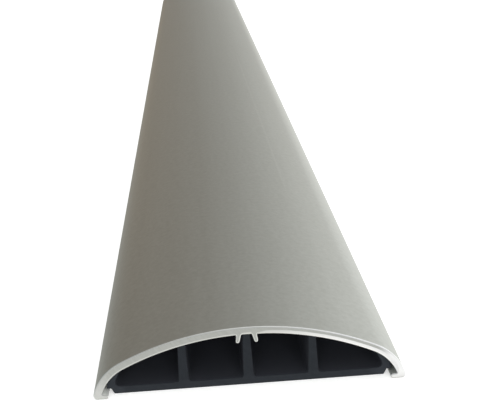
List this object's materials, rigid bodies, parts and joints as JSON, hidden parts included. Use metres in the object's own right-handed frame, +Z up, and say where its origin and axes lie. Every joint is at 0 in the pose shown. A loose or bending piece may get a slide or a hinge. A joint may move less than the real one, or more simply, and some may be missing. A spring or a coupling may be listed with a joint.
{
  "type": "floor cable trunking",
  "caption": "Length of low floor cable trunking: arched satin aluminium cover clipped over a ribbed anthracite plastic base with side-by-side cable compartments.",
  "frame": {"origin": "middle of the underside, at floor level, halfway along the length", "axes": "+Y along the trunking, away from the end that the picture shows; +X across it, to the right in the picture; +Z up from the floor to the crown"},
  "size_m": [0.092, 1, 0.02],
  "materials": {
    "cover": "satin natural anodised, with fine lines along the extrusion and bare sawn ends",
    "base": "matt anthracite extruded plastic"
  },
  "bodies": {
    "root": {"cover": "cover", "base": "base"}
  },
  "joints": []
}
